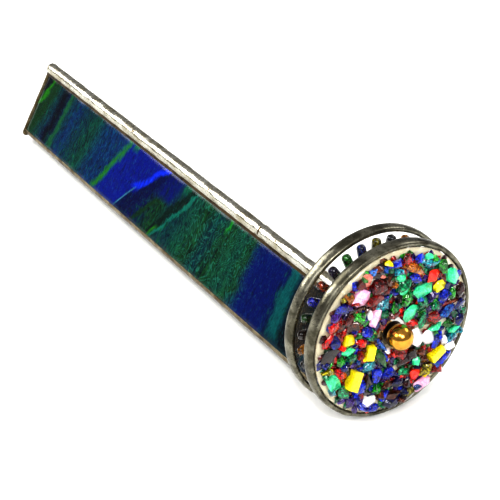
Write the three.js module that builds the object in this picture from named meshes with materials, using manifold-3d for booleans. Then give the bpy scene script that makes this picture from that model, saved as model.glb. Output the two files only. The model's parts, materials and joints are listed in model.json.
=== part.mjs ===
// Stained-glass kaleidoscope with two turning wheels, in millimetres.
// +X runs along the body towards the wheels and +Z is up. The origin is under the middle of the
// overall length, at the lowest point of the wheels.
import * as THREE from "three";
import { mergeVertices } from "three/addons/utils/BufferGeometryUtils.js";
import Module from "manifold-3d";

// Overall sizes
const overallLength = 241.3;
const wheelDiameter = 57.15;

// Body: three strips of art glass round a triangular space, joined by solder seams
const stripWidth = 25.4;
const stripThickness = 2.4;
const sideOverhang = 1.2; // how far the side strips run down past the top face of the base strip
const axleSeamWall = 0.3; // least solder between the axle's hole and the glass below it
const ridgeSeamWall = 0.9; // solder all round the axle's hole
const lowSeamRadius = 2;
const lowSeamInset = 0.1; // how far the low seams stay inside the outer faces of the glass
const endSeamThickness = 0.9;
const endSeamLap = 1; // how far an end seam reaches over its end plate
const endCornerRadius = 1.2;
const endPlateThickness = 2;
const endPlateCornerRadius = 0.5;
const eyeHoleRadius = 4;
const lensClearance = 1.4; // between the edge of the lens and the strips
const lensThickness = 1.2;

// Mirror tunnel inside the body
const mirrorThickness = 1.2;
const mirrorSpace = 0.8; // between a strip and the back of its mirror
const mirrorCornerGap = 0.3;
const cushionRadius = 0.9;

// Axle, washers and ball nut
const axleRadius = 1.1;
const axleEmbedded = 32;
const axlePastBallCentre = 1;
const washerRadius = 3.4;
const frontWasherThickness = 0.4;
const spacerRadius = 2.2;
const ballRadius = 3.97;
const ballSeatRadius = 2.3;

// Wheels: a clear disc in a channel-shaped rim, turning on a bush
const rimWidth = 4;
const rimWall = 0.7;
const rimLip = 1.6; // radial height of the channel
const wheelPitch = 10;
const wheelGap = 0.9; // between the body and the rear wheel
const hubRadius = 2.4;
const hubProud = 0.2;
const runningClearance = 0.15;

// What the wheels carry
const rodCount = 30;
const rodRadius = 1.4;
const chipCount = 110;
const chipRadius = 2.3;
const chipBedThickness = 1;
const chipHeight = 3.3;
const chipClearOfBall = 0.6;

const gap = 0.3; // left between pieces that touch on the real object
const wheelSides = 72;
const smallSides = 24;
const ballSides = 32;

// Sizes that follow from those above
const cos30 = Math.cos(Math.PI / 6);
const inradiusPerSide = 1 / (2 * Math.sqrt(3)); // of an equilateral triangle
const wheelRadius = wheelDiameter / 2;
const caseSide = stripWidth + gap - sideOverhang;
const caseInradius = caseSide * inradiusPerSide;
const outerInradius = caseInradius + stripThickness;
const axleHoleRadius = axleRadius + gap;
const ridgeSeamRadius = axleHoleRadius + ridgeSeamWall;
const ridgeReach = 2 * caseInradius + (axleHoleRadius + axleSeamWall + gap) / cos30;
const lowSeamReach = 2 * (outerInradius - lowSeamInset - lowSeamRadius);
const axleHeight = wheelRadius;
const caseHeight = axleHeight - ridgeReach;
const mirrorInradius = caseInradius - mirrorSpace - mirrorThickness;
const mirrorWidth = mirrorInradius / inradiusPerSide - 2 * mirrorCornerGap;
const cushionReach = 2 * (caseInradius - gap - cushionRadius);
const baseStripWidth = caseSide - (2 * gap) / cos30;
const lensRadius = caseInradius - lensClearance;
const discThickness = rimWidth - 2 * rimWall - 2 * gap;
const discRadius = wheelRadius - rimWall - gap;
const discInset = rimWall + gap; // from the rim's side to the disc's face
const rimOpening = wheelRadius - rimLip;
const hubBore = axleRadius + runningClearance;
const rodInnerReach = (rodRadius + gap / 2) / Math.sin(Math.PI / rodCount); // where neighbours all but touch
const hubLength = discThickness + 2 * hubProud;

// Places along X, worked out from the tip of the ball nut back to the body
const ballCentreX = overallLength / 2 - ballRadius;
const ballSeatX = ballCentreX - Math.sqrt(ballRadius ** 2 - ballSeatRadius ** 2);
const frontWasherX = ballSeatX - gap - frontWasherThickness;
const frontDiscX = frontWasherX - gap - hubProud - discThickness;
const frontRimX = frontDiscX - discInset;
const rearRimX = frontRimX - wheelPitch;
const rearDiscX = rearRimX + discInset;
const bodyFrontX = rearRimX - wheelGap;
const bodyRearX = -overallLength / 2;
const stripRearX = bodyRearX + endSeamThickness + gap;
const stripFrontX = bodyFrontX - endSeamThickness - gap;
const eyePlateX = stripRearX;
const lensX = eyePlateX + endPlateThickness + gap;
const windowX = stripFrontX - endPlateThickness;
const mirrorRearX = lensX + lensThickness + gap;
const mirrorFrontX = windowX - gap;

// Directions from the body's middle line, as angles from +Y towards +Z
const leftFace = Math.PI / 6;
const rightFace = (5 * Math.PI) / 6;
const baseFace = (3 * Math.PI) / 2;
const ridgeCorner = Math.PI / 2;
const rightCorner = (7 * Math.PI) / 6;
const leftCorner = (11 * Math.PI) / 6;

const wasm = await Module();
wasm.setup();

// --- Geometry helpers -------------------------------------------------------------------------

function toSolid(geometry) {
  const bare = new THREE.BufferGeometry();
  bare.setAttribute("position", geometry.getAttribute("position").clone());
  if (geometry.index) bare.setIndex(geometry.index.clone());
  const merged = mergeVertices(bare, 1e-4);
  return new wasm.Manifold(
    new wasm.Mesh({
      numProp: 3,
      vertProperties: new Float32Array(merged.attributes.position.array),
      triVerts: new Uint32Array(merged.index.array),
    }),
  );
}

function toGeometry(solid) {
  const mesh = solid.getMesh();
  const geometry = new THREE.BufferGeometry();
  geometry.setAttribute("position", new THREE.BufferAttribute(new Float32Array(mesh.vertProperties), 3));
  geometry.setIndex(new THREE.BufferAttribute(new Uint32Array(mesh.triVerts), 1));
  geometry.computeVertexNormals();
  return geometry;
}

// A shape turned about the X axis. Each profile point is [place along X, radius], and the outer
// surface runs towards +X.
function turned(profile, sides) {
  const points = profile.map(([along, radius]) => new THREE.Vector2(radius, along));
  return new THREE.LatheGeometry(points, sides).rotateZ(-Math.PI / 2);
}

function cylinder(startX, endX, radius, sides) {
  return turned([[startX, 0], [startX, radius], [endX, radius], [endX, 0]], sides);
}

function tube(startX, endX, inner, outer, sides) {
  const profile = [[startX, inner], [startX, outer], [endX, outer], [endX, inner], [startX, inner]];
  return turned(profile, sides);
}

// A shape drawn in the YZ plane and extruded along X.
function extruded(shape, startX, endX) {
  const shapeToBody = new THREE.Matrix4().makeBasis(
    new THREE.Vector3(0, 1, 0),
    new THREE.Vector3(0, 0, 1),
    new THREE.Vector3(1, 0, 0),
  );
  const settings = { depth: endX - startX, bevelEnabled: false, curveSegments: 4 };
  return new THREE.ExtrudeGeometry(shape, settings).applyMatrix4(shapeToBody).translate(startX, 0, 0);
}

function roundedTriangle(inradius, cornerRadius) {
  const shape = new THREE.Shape();
  for (const corner of [ridgeCorner, rightCorner, leftCorner]) {
    const reach = 2 * (inradius - cornerRadius);
    const centreY = reach * Math.cos(corner);
    const centreZ = reach * Math.sin(corner);
    shape.absarc(centreY, centreZ, cornerRadius, corner - Math.PI / 3, corner + Math.PI / 3, false);
  }
  shape.closePath();
  return shape;
}

function offAxis(geometry, reach, angle) {
  return geometry.translate(0, reach * Math.cos(angle), reach * Math.sin(angle));
}

// A flat strip along X that faces the given direction. Its inner face is `inradius` from the
// body's middle line, and `low` and `high` are its edges across that face.
function strip(startX, endX, inradius, thickness, low, high, direction) {
  const box = new THREE.BoxGeometry(endX - startX, thickness, high - low);
  box.translate((startX + endX) / 2, inradius + thickness / 2, (low + high) / 2);
  return box.rotateX(direction);
}

// --- Body -------------------------------------------------------------------------------------

const sideTop = caseSide / 2 - gap;
const sideBottom = -caseSide / 2 - sideOverhang;

// A glass strip of the case, or with `grown` the space that its neighbours keep clear of.
function caseStrip(direction, grown = 0) {
  let low = -baseStripWidth / 2;
  let high = baseStripWidth / 2;
  if (direction === rightFace) [low, high] = [-sideTop, -sideBottom];
  if (direction === leftFace) [low, high] = [sideBottom, sideTop];
  return strip(
    stripRearX - grown,
    stripFrontX + grown,
    caseInradius - grown,
    stripThickness + 2 * grown,
    low - grown,
    high + grown,
    direction,
  );
}

function seamBar(startX, endX, reach, radius, corner) {
  return toSolid(offAxis(cylinder(startX, endX, radius, smallSides), reach, corner));
}

function seam(reach, radius, corner) {
  const inside = extruded(roundedTriangle(caseInradius, gap), bodyRearX, bodyFrontX);
  let solid = seamBar(stripRearX, stripFrontX, reach, radius, corner).subtract(toSolid(inside));
  for (const face of [leftFace, rightFace, baseFace]) {
    solid = solid.subtract(toSolid(caseStrip(face, gap)));
  }
  return solid;
}

function axleHole() {
  const startX = bodyFrontX - axleEmbedded - gap;
  return seamBar(startX, bodyFrontX + gap, ridgeReach, axleHoleRadius, ridgeCorner);
}

function ridgeSeam() {
  const solid = seam(ridgeReach, ridgeSeamRadius, ridgeCorner);
  return toGeometry(solid.subtract(axleHole()));
}

function lowSeam(corner) {
  return toGeometry(seam(lowSeamReach, lowSeamRadius, corner));
}

// A flat plate that fits inside the case strips.
function innerPlate(startX) {
  const outline = roundedTriangle(caseInradius - gap, endPlateCornerRadius);
  return extruded(outline, startX, startX + endPlateThickness);
}

function eyepiecePlate() {
  const hole = cylinder(eyePlateX - gap, eyePlateX + endPlateThickness + gap, eyeHoleRadius, ballSides);
  return toGeometry(toSolid(innerPlate(eyePlateX)).subtract(toSolid(hole)));
}

// The solder frame over the strips' ends that holds the end plate in. Its top closes the ridge seam.
function endSeam(startX) {
  const endX = startX + endSeamThickness;
  const opening = roundedTriangle(caseInradius - endSeamLap, endCornerRadius);
  const frame = extruded(roundedTriangle(outerInradius, endCornerRadius), startX, endX);
  return toSolid(frame)
    .add(seamBar(startX, endX, ridgeReach, ridgeSeamRadius, ridgeCorner))
    .subtract(toSolid(extruded(opening, startX - gap, endX + gap)));
}

function frontEndSeam() {
  return toGeometry(endSeam(bodyFrontX - endSeamThickness).subtract(axleHole()));
}

function mirror(direction) {
  return strip(
    mirrorRearX,
    mirrorFrontX,
    mirrorInradius,
    mirrorThickness,
    -mirrorWidth / 2,
    mirrorWidth / 2,
    direction,
  );
}

function cushion(corner) {
  return offAxis(cylinder(mirrorRearX, mirrorFrontX, cushionRadius, 8), cushionReach, corner);
}

// --- Axle and wheels --------------------------------------------------------------------------

function ballNut() {
  const holeRadius = axleRadius + gap;
  const holeEnd = ballCentreX + axlePastBallCentre + gap;
  const profile = [[holeEnd, 0], [holeEnd, holeRadius], [ballSeatX, holeRadius]];
  const steps = 12;
  const seatAngle = Math.PI - Math.asin(ballSeatRadius / ballRadius);
  for (let step = 0; step <= steps; step++) {
    const angle = seatAngle * (1 - step / steps);
    const radius = step === steps ? 0 : ballRadius * Math.sin(angle);
    profile.push([ballCentreX + ballRadius * Math.cos(angle), radius]);
  }
  return turned(profile, ballSides);
}

function rim() {
  const webRadius = wheelRadius - rimWall;
  const profile = [
    [0, rimOpening],
    [0, wheelRadius],
    [rimWidth, wheelRadius],
    [rimWidth, rimOpening],
    [rimWidth - rimWall, rimOpening],
    [rimWidth - rimWall, webRadius],
    [rimWall, webRadius],
    [rimWall, rimOpening],
    [0, rimOpening],
  ];
  return turned(profile, wheelSides);
}

function disc() {
  return tube(discInset, discInset + discThickness, hubRadius + gap, discRadius, wheelSides);
}

function hub() {
  const start = discInset - hubProud;
  return tube(start, start + hubLength, hubBore, hubRadius, smallSides);
}

// A glass rod with round ends that lies on the disc and points outwards, along +Z.
function rod() {
  const outerReach = rimOpening - gap;
  const length = outerReach - rodInnerReach;
  const bend = rodRadius * (1 - Math.SQRT1_2);
  const profile = [
    [0, 0],
    [bend, rodRadius * Math.SQRT1_2],
    [rodRadius, rodRadius],
    [length - rodRadius, rodRadius],
    [length - bend, rodRadius * Math.SQRT1_2],
    [length, 0],
  ];
  const lift = discInset + discThickness + gap + rodRadius;
  return turned(profile, 8).rotateY(-Math.PI / 2).translate(lift, 0, rodInnerReach);
}

// A repeatable stream of numbers from 0 to 1.
function numberStream(seed) {
  let state = seed;
  return () => {
    state = (state * 1664525 + 1013904223) % 4294967296;
    return state / 4294967296;
  };
}

// Glass chips heaped on a bed of clear resin, as one piece.
function chips() {
  const innerRadius = ballRadius + chipClearOfBall;
  const outerRadius = rimOpening - gap;
  const bedX = discInset + discThickness + gap;
  const bedFront = bedX + chipBedThickness;
  const space = toSolid(tube(bedX, bedX + chipHeight, innerRadius, outerRadius, wheelSides));
  const goldenAngle = Math.PI * (3 - Math.sqrt(5));
  const next = numberStream(7);
  let heap = toSolid(tube(bedX, bedFront, innerRadius, outerRadius, wheelSides));
  for (let index = 0; index < chipCount; index++) {
    const share = (index + 0.5) / chipCount;
    const reach = Math.sqrt(innerRadius ** 2 + share * (outerRadius ** 2 - innerRadius ** 2));
    const chip = new THREE.OctahedronGeometry(chipRadius * (0.85 + 0.3 * next()));
    chip.scale(0.9, 1.1, 0.8);
    chip.rotateX(2 * Math.PI * next()).rotateY(Math.PI * next()).rotateZ(Math.PI * next());
    offAxis(chip.translate(bedFront, 0, 0), reach, index * goldenAngle);
    heap = heap.add(toSolid(chip));
  }
  return toGeometry(heap.intersect(space));
}

// --- Materials --------------------------------------------------------------------------------

function material(color, roughness, metalness, opacity = 1) {
  const transparent = opacity < 1;
  return new THREE.MeshStandardMaterial({ color, roughness, metalness, opacity, transparent });
}

const solder = { color: 0xa8a595, roughness: 0.3, metalness: 1 };
const lead = { color: 0x6e6c62, roughness: 0.45, metalness: 1 };
const artGlass = { color: 0x0b2f52, roughness: 0.15, metalness: 0 };
const clearGlass = { color: 0xe8f0ee, roughness: 0.05, metalness: 0, opacity: 0.3 };
const mirrorGlass = { color: 0xdfe4e6, roughness: 0.03, metalness: 1 };
const blackGlass = { color: 0x101214, roughness: 0.2, metalness: 0 };
const foam = { color: 0x2a2a2a, roughness: 0.95, metalness: 0 };
const brass = { color: 0xb8862b, roughness: 0.18, metalness: 1 };
const steel = { color: 0x8b8d8f, roughness: 0.3, metalness: 1 };
const rubber = { color: 0x1a1917, roughness: 0.7, metalness: 0 };
const chipGlass = { color: 0xb32318, roughness: 0.1, metalness: 0 };
const rodColors = [
  0x6a5a10, 0x101c4c, 0x0f3d14, 0x1c0f2c, 0x6a2a0c, 0x0c1468, 0x123416, 0x2a1410, 0x8a5410, 0x0a0a0c,
];

function piece(name, geometry, look) {
  const { color, roughness, metalness, opacity } = look;
  const mesh = new THREE.Mesh(geometry, material(color, roughness, metalness, opacity));
  mesh.name = name;
  return mesh;
}

// --- Assembly ---------------------------------------------------------------------------------

function caseGroup() {
  const group = new THREE.Group();
  group.position.z = caseHeight;
  group.add(
    piece("right_panel", caseStrip(rightFace), artGlass),
    piece("left_panel", caseStrip(leftFace), artGlass),
    piece("base_panel", caseStrip(baseFace), artGlass),
    piece("ridge_seam", ridgeSeam(), solder),
    piece("right_seam", lowSeam(rightCorner), solder),
    piece("left_seam", lowSeam(leftCorner), solder),
    piece("front_end_seam", frontEndSeam(), solder),
    piece("rear_end_seam", toGeometry(endSeam(bodyRearX)), solder),
    piece("front_window", innerPlate(windowX), clearGlass),
    piece("eyepiece_plate", eyepiecePlate(), blackGlass),
    piece("eyepiece_lens", cylinder(lensX, lensX + lensThickness, lensRadius, ballSides), clearGlass),
    piece("right_mirror", mirror(rightFace), mirrorGlass),
    piece("left_mirror", mirror(leftFace), mirrorGlass),
    piece("base_mirror", mirror(baseFace), mirrorGlass),
    piece("ridge_cushion", cushion(ridgeCorner), foam),
    piece("right_cushion", cushion(rightCorner), foam),
    piece("left_cushion", cushion(leftCorner), foam),
  );
  return group;
}

function axleGroup() {
  const group = new THREE.Group();
  group.position.z = axleHeight;
  const axleStart = bodyFrontX - axleEmbedded;
  const axleEnd = ballCentreX + axlePastBallCentre;
  const rearHubX = rearDiscX - hubProud;
  const frontHubX = frontDiscX - hubProud;
  const bore = axleRadius + gap;
  group.add(
    piece("axle_rod", cylinder(axleStart, axleEnd, axleRadius, smallSides), brass),
    piece("rear_washer", tube(bodyFrontX + gap, rearHubX - gap, bore, washerRadius, smallSides), rubber),
    piece(
      "wheel_spacer",
      tube(rearHubX + hubLength + gap, frontHubX - gap, bore, spacerRadius, smallSides),
      brass,
    ),
    piece(
      "front_washer",
      tube(frontWasherX, frontWasherX + frontWasherThickness, bore, washerRadius, smallSides),
      steel,
    ),
    piece("ball_nut", ballNut(), brass),
  );
  return group;
}

function wheelGroup(name, rimX) {
  const group = new THREE.Group();
  group.position.set(rimX, 0, axleHeight);
  group.add(
    piece(`${name}_rim`, rim(), lead),
    piece(`${name}_disc`, disc(), clearGlass),
    piece(`${name}_hub`, hub(), brass),
  );
  return group;
}

function rearWheel() {
  const group = wheelGroup("rear_wheel", rearRimX);
  for (let index = 0; index < rodCount; index++) {
    const color = rodColors[index % rodColors.length];
    const glass = { color, roughness: 0.1, metalness: 0 };
    const mesh = piece(`glass_rod_${String(index + 1).padStart(2, "0")}`, rod(), glass);
    mesh.rotation.x = (2 * Math.PI * index) / rodCount;
    group.add(mesh);
  }
  return group;
}

function frontWheel() {
  const group = wheelGroup("front_wheel", frontRimX);
  group.add(piece("glass_chips", chips(), chipGlass));
  return group;
}

const kaleidoscope = new THREE.Group();
kaleidoscope.add(caseGroup(), axleGroup(), rearWheel(), frontWheel());

export default kaleidoscope;
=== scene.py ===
import json
import math
import random

import bmesh
import bpy
from mathutils import Matrix, Vector, noise


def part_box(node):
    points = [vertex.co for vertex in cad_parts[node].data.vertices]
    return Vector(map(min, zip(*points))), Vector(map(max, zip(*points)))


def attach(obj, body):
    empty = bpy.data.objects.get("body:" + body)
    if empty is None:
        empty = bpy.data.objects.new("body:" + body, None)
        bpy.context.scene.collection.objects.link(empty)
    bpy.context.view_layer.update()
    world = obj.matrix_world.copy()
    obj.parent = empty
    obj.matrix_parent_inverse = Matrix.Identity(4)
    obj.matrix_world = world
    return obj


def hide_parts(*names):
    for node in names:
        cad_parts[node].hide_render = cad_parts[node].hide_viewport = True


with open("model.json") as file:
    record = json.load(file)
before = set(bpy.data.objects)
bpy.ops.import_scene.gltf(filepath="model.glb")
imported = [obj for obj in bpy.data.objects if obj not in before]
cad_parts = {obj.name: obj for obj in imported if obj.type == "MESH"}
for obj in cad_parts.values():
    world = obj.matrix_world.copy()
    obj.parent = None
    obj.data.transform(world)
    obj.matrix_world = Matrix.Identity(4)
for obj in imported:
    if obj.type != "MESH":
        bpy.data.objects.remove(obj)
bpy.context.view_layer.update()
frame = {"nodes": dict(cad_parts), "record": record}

MM = 0.001
SLOT_OF = {part["node"]: part["material_slot"] for part in frame["record"]["subparts"]}

# --- Sizes read from the frame ---

GAP = 0.3 * MM  # left in the frame between pieces that touch


def span(node, axis):
    low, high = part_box(node)
    return low[axis], high[axis]


BASE_FACE_Z, BASE_INNER_Z = span("base_panel", 2)
GLASS = BASE_INNER_Z - BASE_FACE_Z
CASE_SIDE = span("base_panel", 1)[1] * 2 + 2 * GAP / math.cos(math.pi / 6)
CASE_INRADIUS = CASE_SIDE / (2 * math.sqrt(3))
OUTER_INRADIUS = CASE_INRADIUS + GLASS
MIDDLE_Z = BASE_INNER_Z + CASE_INRADIUS
BODY_BACK = span("rear_end_seam", 0)[0]
BODY_FRONT = span("front_end_seam", 0)[1]
PANEL_BACK, PANEL_FRONT = span("right_panel", 0)
SIDE_TOP = CASE_SIDE / 2 - GAP
SIDE_BOTTOM = (span("right_panel", 2)[0] - MIDDLE_Z - CASE_INRADIUS / 2) / math.cos(math.pi / 6)
AXLE_Z = sum(span("axle_rod", 2)) / 2
AXLE_RADIUS = span("axle_rod", 1)[1]
RIDGE_RADIUS = span("ridge_seam", 1)[1]
RIM_RADIUS = span("front_wheel_rim", 1)[1]
RIM_WIDTH = span("front_wheel_rim", 0)[1] - span("front_wheel_rim", 0)[0]
CHIP_BED_X = span("glass_chips", 0)[0]
CHIP_REACH = span("glass_chips", 1)[1]

# --- Meshes ---


def make_object(name, vertices, faces, smooth=True):
    mesh = bpy.data.meshes.new(name)
    mesh.from_pydata([tuple(vertex) for vertex in vertices], [], faces)
    work = bmesh.new()
    work.from_mesh(mesh)
    bmesh.ops.recalc_face_normals(work, faces=work.faces)
    work.to_mesh(mesh)
    work.free()
    mesh.polygons.foreach_set("use_smooth", [smooth] * len(mesh.polygons))
    made = bpy.data.objects.new(name, mesh)
    bpy.context.scene.collection.objects.link(made)
    return made


def loft(name, rings, closed=False):
    """A skin over rings of points that each go once round. Its ends are capped unless it is closed."""
    count = len(rings[0])
    vertices = [point for ring in rings for point in ring]
    faces = []
    steps = len(rings) if closed else len(rings) - 1
    for step in range(steps):
        here = step * count
        there = (step + 1) % len(rings) * count
        for index in range(count):
            after = (index + 1) % count
            faces.append((here + index, here + after, there + after, there + index))
    if not closed:
        faces.append(tuple(range(count)))
        faces.append(tuple(range((len(rings) - 1) * count, len(rings) * count)))
    return make_object(name, vertices, faces)


def outwards(angle):
    return Vector((0, math.cos(angle), math.sin(angle)))


def round_axle(x, radius, angle):
    return Vector((x, radius * math.cos(angle), AXLE_Z + radius * math.sin(angle)))


def turned(name, profile, sides, shift=None):
    """A ring turned about the axle. The closed profile is [(x, radius), ...], and shift(x, radius, angle)
    gives how far a point moves along X and outwards."""
    rings = []
    for step in range(sides):
        angle = 2 * math.pi * step / sides
        ring = []
        for x, radius in profile:
            dx, dr = shift(x, radius, angle) if shift else (0, 0)
            ring.append(round_axle(x + dx, radius + dr, angle))
        rings.append(ring)
    return loft(name, rings, closed=True)


def turned_solid(name, profile, sides):
    """The same for a profile that starts and ends on the axle's line."""
    first, *middle, last = profile
    vertices = [Vector((first[0], 0, AXLE_Z)), Vector((last[0], 0, AXLE_Z))]
    faces = []
    for step in range(sides):
        angle = 2 * math.pi * step / sides
        vertices += [round_axle(x, radius, angle) for x, radius in middle]
    count = len(middle)
    for step in range(sides):
        here = 2 + step * count
        there = 2 + (step + 1) % sides * count
        faces.append((0, there, here))
        faces.append((1, here + count - 1, there + count - 1))
        for index in range(count - 1):
            faces.append((here + index, there + index, there + index + 1, here + index + 1))
    return make_object(name, vertices, faces)


def rounded(corners, radius, steps=3):
    """The closed outline of these corners with each one rounded."""
    outline = []
    for index, corner in enumerate(corners):
        here = Vector(corner)
        before = (Vector(corners[index - 1]) - here).normalized()
        after = (Vector(corners[(index + 1) % len(corners)]) - here).normalized()
        for step in range(steps + 1):
            share = step / steps
            start = here + before * radius * (1 - share) ** 2
            outline.append(start + after * radius * share**2)
    return outline


def piece(made, body, *nodes, material, slot=None):
    made.data.materials.append(material)
    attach(made, body)
    if nodes:
        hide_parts(*nodes)
    return made


def add_bevel(made, width, segments=2, angle=30):
    bevel = made.modifiers.new("bevel", "BEVEL")
    bevel.width = width
    bevel.segments = segments
    bevel.limit_method = "ANGLE"
    bevel.angle_limit = math.radians(angle)


# --- Materials ---


def color(red, green, blue):
    """A screen colour from 0 to 255 as the linear colour that a shader takes."""
    linear = []
    for part in (red, green, blue):
        share = part / 255
        linear.append(share / 12.92 if share <= 0.04045 else ((share + 0.055) / 1.055) ** 2.4)
    return (*linear, 1)


# A Mix node's colour sockets, which share their names with its number sockets
COLOR_A, COLOR_B, COLOR_RESULT = 6, 7, 2


class Look:
    """A material and short ways to add nodes to it."""

    def __init__(self, name, **sockets):
        self.material = bpy.data.materials.new(name)
        self.material.use_nodes = True
        self.tree = self.material.node_tree
        self.shader = self.tree.nodes["Principled BSDF"]
        self.set(**sockets)
        self.place = self.node("ShaderNodeTexCoord").outputs["Object"]

    def set(self, **sockets):
        for name, value in sockets.items():
            self.join(value, self.shader.inputs[name.replace("_", " ")])

    def join(self, value, socket):
        if isinstance(value, bpy.types.NodeSocket):
            self.tree.links.new(value, socket)
        else:
            socket.default_value = value

    def node(self, kind, inputs=(), **settings):
        made = self.tree.nodes.new(kind)
        for name, value in settings.items():
            setattr(made, name, value)
        for name, value in dict(inputs).items():
            self.join(value, made.inputs[name])
        return made

    def math(self, operation, first, second=0.0, clamp=False):
        values = {0: first, 1: second}
        return self.node("ShaderNodeMath", values, operation=operation, use_clamp=clamp).outputs[0]

    def plus(self, first, second, clamp=False):
        return self.math("ADD", first, second, clamp)

    def minus(self, first, second):
        return self.math("SUBTRACT", first, second)

    def times(self, first, second):
        return self.math("MULTIPLY", first, second)

    def over(self, first, second, clamp=False):
        return self.math("DIVIDE", first, second, clamp)

    def dot(self, direction):
        made = self.node("ShaderNodeVectorMath", {0: self.place, 1: direction}, operation="DOT_PRODUCT")
        return made.outputs["Value"]

    def noise(self, scale, detail=3.0, roughness=0.5, distortion=0.0, stretch=(1, 1, 1), shift=(0, 0, 0)):
        """Noise with `scale` lumps per millimetre."""
        inputs = {"Vector": self.place, "Scale": stretch, "Location": shift}
        mapped = self.node("ShaderNodeMapping", inputs).outputs[0]
        inputs = {"Vector": mapped, "Scale": scale / MM, "Detail": detail}
        inputs.update({"Roughness": roughness, "Distortion": distortion})
        return self.node("ShaderNodeTexNoise", inputs).outputs["Fac"]

    def ramp(self, value, *stops):
        """stops are (place, colour or grey level)."""
        made = self.node("ShaderNodeValToRGB", {"Fac": value})
        elements = made.color_ramp.elements
        while len(elements) < len(stops):
            elements.new(0.5)
        for element, (place, shade) in zip(elements, stops):
            element.position = place
            element.color = shade if isinstance(shade, tuple) else (shade, shade, shade, 1)
        return made.outputs["Color"]

    def mix(self, share, first, second, blend="MIX"):
        made = self.node("ShaderNodeMix", data_type="RGBA", blend_type=blend)
        self.join(share, made.inputs["Factor"])
        self.join(first, made.inputs[COLOR_A])
        self.join(second, made.inputs[COLOR_B])
        return made.outputs[COLOR_RESULT]

    def bump(self, height, depth, strength=1.0):
        """Bump whose full height is `depth`."""
        made = self.node("ShaderNodeBump", {"Height": height, "Distance": depth, "Strength": strength})
        self.set(Normal=made.outputs["Normal"])


SHARP_STREAK = 0.6  # a streak with softer edges than this wanders more
STREAK_END = 2.5  # height over which a streak fades out, in mm
SWIRL_FADE = 8  # length over which the swirls fade out, in mm
SWIRL_TURNS = 120  # how closely the swirls' lines lie


def art_glass(name, up, bands, streaks, swirls, seed):
    """Wispy art glass. `up` is the direction up the strip and bands are (x, colour) along the body. Each
    streak is (colour, left edge, right edge, softness, lowest, highest), an edge being (x, lean) or
    (x, lean, bend): it runs at x + lean * height + bend * height squared, where height is measured up the
    strip. Fine swirls of painted ripple highlight lie between the two places along the body in `swirls`,
    and painted ripple light and shade streak the whole strip. All are in mm."""
    look = Look(name, Roughness=0.1, IOR=1.5, Specular_IOR_Level=0.2)
    along = look.over(look.dot((1, 0, 0)), MM)
    height = look.over(look.minus(look.dot(tuple(up)), up.z * MIDDLE_Z), MM)
    wander = look.minus(look.noise(0.08, 3, 0.5, 0.8, shift=(seed, 0, 0)), 0.5)
    feather = look.noise(0.3, 6, 0.68, 2.2, stretch=(1.5, 0.6, 0.6), shift=(0, seed, 0))
    strokes = look.noise(0.34, 7, 0.78, 2.2, stretch=(2.2, 0.55, 0.55), shift=(seed, 5, 0))
    fine = look.noise(1.1, 4, 0.7, 1.5, stretch=(1.6, 0.5, 0.5), shift=(seed, 0, 3))
    steady = look.plus(along, look.times(wander, 2))
    shaken = look.plus(along, look.times(wander, 7))
    shaken = look.plus(shaken, look.times(look.minus(feather, 0.5), 5))
    square = look.times(height, height)
    start, end = bands[0][0], bands[-1][0]
    warped = look.plus(shaken, look.times(look.minus(feather, 0.5), 13))
    warped = look.plus(warped, look.times(height, -0.2))
    place = look.over(look.minus(warped, start), end - start, clamp=True)
    glass = look.ramp(place, *[((x - start) / (end - start), shade) for x, shade in bands])
    glass = look.mix(look.ramp(feather, (0.52, 0.0), (0.68, 0.8)), glass, color(8, 72, 44))
    glass = look.mix(look.ramp(feather, (0.3, 0.75), (0.46, 0.0)), glass, color(2, 6, 30))
    # Painted light and shade of the rolled surface's ripples: a lit copy of the glass where the strokes run
    # high, a dark copy where they run low.
    painted_ripple_light = look.mix(1.0, glass, (3.0, 2.6, 2.0, 1), "MULTIPLY")
    glass = look.mix(look.ramp(strokes, (0.5, 0.0), (0.62, 0.9)), glass, painted_ripple_light)
    glass = look.mix(look.ramp(strokes, (0.36, 0.9), (0.49, 0.0)), glass, color(1, 4, 16))
    for shade, left, right, softness, lowest, highest in streaks:
        course = steady if softness < SHARP_STREAK else shaken
        sides = []
        for (x, lean, *bend), sign in ((left, 1), (right, -1)):
            edge = look.plus(look.times(height, lean), look.times(square, sum(bend)))
            past = look.minus(look.minus(course, edge), x)
            sides.append(look.plus(look.times(past, sign / softness), 0.5, clamp=True))
        share = look.times(*sides)
        above = look.over(look.minus(height, lowest), STREAK_END, clamp=True)
        below = look.over(look.minus(highest, height), STREAK_END, clamp=True)
        share = look.times(look.times(share, above), below)
        share = look.times(share, look.ramp(strokes, (0.34, 0.2), (0.52, 1.0)))
        glass = look.mix(share, glass, shade)
    # The swirls' lines are painted highlights of swirling ripples in the surface.
    swirl = look.noise(0.05, 2, 0.5, 1.8, shift=(0, 0, seed))
    contour = look.math("SINE", look.times(swirl, SWIRL_TURNS))
    after = look.over(look.minus(along, swirls[0]), SWIRL_FADE, clamp=True)
    before = look.over(look.minus(swirls[1], along), SWIRL_FADE, clamp=True)
    lines = look.times(look.ramp(contour, (0.5, 0.0), (1.0, 0.55)), look.times(after, before))
    lines = look.times(lines, look.ramp(feather, (0.36, 0.0), (0.54, 1.0)))
    glass = look.mix(lines, glass, color(44, 122, 104))
    # Fine painted shade and painted highlights of the surface's small ripples.
    glass = look.mix(look.ramp(fine, (0.3, 0.7), (0.5, 0.0)), glass, color(2, 8, 26))
    glass = look.mix(look.ramp(fine, (0.58, 0.0), (0.74, 0.5)), glass, color(50, 120, 120))
    look.set(Base_Color=glass)
    ripples = look.plus(look.times(feather, 0.5), look.times(fine, 0.3))
    look.bump(look.plus(ripples, look.times(contour, 0.05)), 0.08 * MM, 0.7)
    return look.material


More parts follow.
